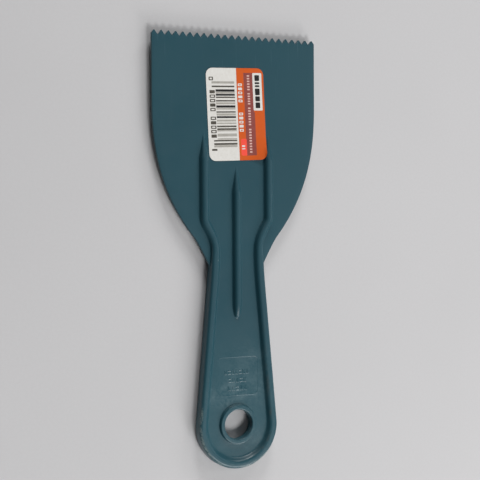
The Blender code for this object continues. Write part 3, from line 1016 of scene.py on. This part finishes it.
def ink(name, colour, worn, rough=0.42, fade=0.10):
    m = Nodes("label_ink_" + name)
    body = m.ramp(m.noise(420.0, 4.0, 0.6), ((0.30, 0.70), (0.0, 1.0)))
    col = m.mix(m.math('MULTIPLY', body, fade * 2), colour, worn)
    screen = m.ramp(m.noise(2400.0, 2.0, 0.5), ((0.45, 0.62), (0.0, 1.0)))
    col = m.mix(m.math('MULTIPLY', screen, fade), col, worn)
    rub = m.ramp(m.noise(75.0, 5.0, 0.7), ((0.62, 0.78), (0.0, 1.0)))
    col = m.mix(m.math('MULTIPLY', rub, fade * 1.4), col, worn)
    m.link(col, m.bsdf.inputs["Base Color"])
    m.link(m.ramp(m.noise(300.0), ((0.3, 0.7), (rough - 0.05, rough + 0.06))), m.bsdf.inputs["Roughness"])
    m.link(m.bump(m.noise(1400.0, 3.0), 0.12, 0.00003), m.bsdf.inputs["Normal"])
    return m.mat


def table_top():
    m = Nodes("pale_table")
    tone = m.ramp(m.noise(6.0, 3.0), ((0.3, 0.7), (0.0, 1.0)))
    col = m.mix(tone, FLOOR_A, FLOOR_B)
    grain = m.ramp(m.noise(900.0, 3.0, 0.6), ((0.3, 0.7), (0.0, 1.0)))
    col = m.mix(m.math('MULTIPLY', grain, 0.3), col, FLOOR_C)
    m.link(col, m.bsdf.inputs["Base Color"])
    m.bsdf.inputs["Roughness"].default_value = 0.8
    m.bsdf.inputs["Specular IOR Level"].default_value = 0.25
    m.link(m.bump(m.noise(1300.0, 3.0), 0.10, 0.00008), m.bsdf.inputs["Normal"])
    return m.mat


BASE_TEAL = lin(35, 74, 85)
DEEP_TEAL = lin(31, 70, 81)
PALE_TEAL = lin(55, 92, 101)
MILKY = lin(108, 130, 136)
ROUGH = 0.43
PAPER_A, PAPER_B = lin(223, 221, 216), lin(217, 214, 208)
FLOOR_A, FLOOR_B, FLOOR_C = lin(200, 199, 200), lin(196, 195, 196), lin(190, 189, 190)


# ---- build ------------------------------------------------------------------------------
body = add("moulding", body_mesh(), plastic())
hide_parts("spreader_body")

INKS = {
    "orange": ink("orange", lin(206, 84, 10), lin(212, 104, 30), 0.42, 0.06),
    "maroon": ink("maroon", lin(134, 62, 56), lin(160, 96, 84), 0.40, 0.12),
    "red": ink("red", lin(244, 76, 58), lin(246, 120, 100), 0.40, 0.06),
    "grey": ink("grey", lin(158, 154, 146), lin(190, 186, 178), 0.45, 0.22),
    "dark": ink("dark", lin(66, 62, 54), lin(108, 102, 92), 0.45, 0.15),
    "black": ink("black", lin(14, 13, 12), lin(40, 37, 33), 0.45, 0.10),
    "pink": ink("pink", lin(222, 182, 172), lin(196, 140, 128), 0.45, 0.12),
}
for key, mesh in label_meshes().items():
    if key == "paper":
        sheet = add("size_label_sheet", mesh, paper())
        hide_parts("label")
    else:
        add("size_label_ink_" + key, mesh, INKS[key])

# table, well past the view
bm = bmesh.new()
bmesh.ops.create_grid(bm, x_segments=2, y_segments=2, size=12.0)
floor_mesh = bpy.data.meshes.new("table_top")
bm.to_mesh(floor_mesh)
bm.free()
floor = bpy.data.objects.new("table_top", floor_mesh)
bpy.context.scene.collection.objects.link(floor)
floor.location = (0, 0, -0.0001)
floor_mesh.materials.append(table_top())


# ---- camera ---------------------------------------------------------------------------------
def aim(ob, position, target, roll=0.0):
    ob.location = position
    d = (Vector(target) - Vector(position)).normalized()
    ob.rotation_euler = d.to_track_quat('-Z', 'Y').to_euler()


cam_data = bpy.data.cameras.new("camera")
cam = bpy.data.objects.new("camera", cam_data)
bpy.context.scene.collection.objects.link(cam)
right = Vector((0.907167, -0.004520, 0.420746)).normalized()
back = -Vector((0.420572, -0.021011, -0.907016)).normalized()
up = back.cross(right).normalized()
right = up.cross(back).normalized()
cam.matrix_world = Matrix((
    (right.x, up.x, back.x, -0.1852),
    (right.y, up.y, back.y, 0.0146),
    (right.z, up.z, back.z, 0.4066),
    (0, 0, 0, 1)))
cam_data.sensor_width = 36.0
cam_data.lens = 78.488
cam_data.clip_start = 0.01
cam_data.clip_end = 20.0
bpy.context.scene.camera = cam


# ---- light ------------------------------------------------------------------------------------
def area(name, azimuth, elevation, distance, size, power, size_y=None, tint=(1, 1, 1)):
    """A soft panel aimed at the tool; azimuth 0 is +X, 90 is +Y (degrees)."""
    data = bpy.data.lights.new(name, 'AREA')
    data.shape = 'RECTANGLE' if size_y else 'DISK'
    data.size = size
    if size_y:
        data.size_y = size_y
    data.energy = power
    data.color = tint
    ob = bpy.data.objects.new(name, data)
    bpy.context.scene.collection.objects.link(ob)
    a, e = math.radians(azimuth), math.radians(elevation)
    aim(ob, (distance * math.cos(e) * math.cos(a), distance * math.cos(e) * math.sin(a), distance * math.sin(e)), (0, 0, 0))
    return ob


# a low window beyond the teeth, a broad panel front right, weak fill overhead
for name, azimuth, elevation, power in (
        ("window", 90, 22, 7.0), ("window_r", 60, 22, 3.1), ("window_l", 120, 22, 0.6),
        ("panel_a", 285, 48, 6.8), ("panel_b", 315, 48, 2.0),
        ("panel_c", 300, 22, 5.0), ("panel_d", 270, 22, 1.0),
        ("side_a", 0, 22, 1.0), ("side_b", 15, 48, 0.9),
        ("top_a", 120, 70, 0.5)):
    area(name, azimuth, elevation, 1.2, 0.36, power)

world = bpy.data.worlds.new("studio")
world.use_nodes = True
world.node_tree.nodes["Background"].inputs["Color"].default_value = (0.9, 0.95, 1.0, 1.0)
world.node_tree.nodes["Background"].inputs["Strength"].default_value = 0.03
bpy.context.scene.world = world
bpy.context.scene.view_settings.view_transform = 'Standard'
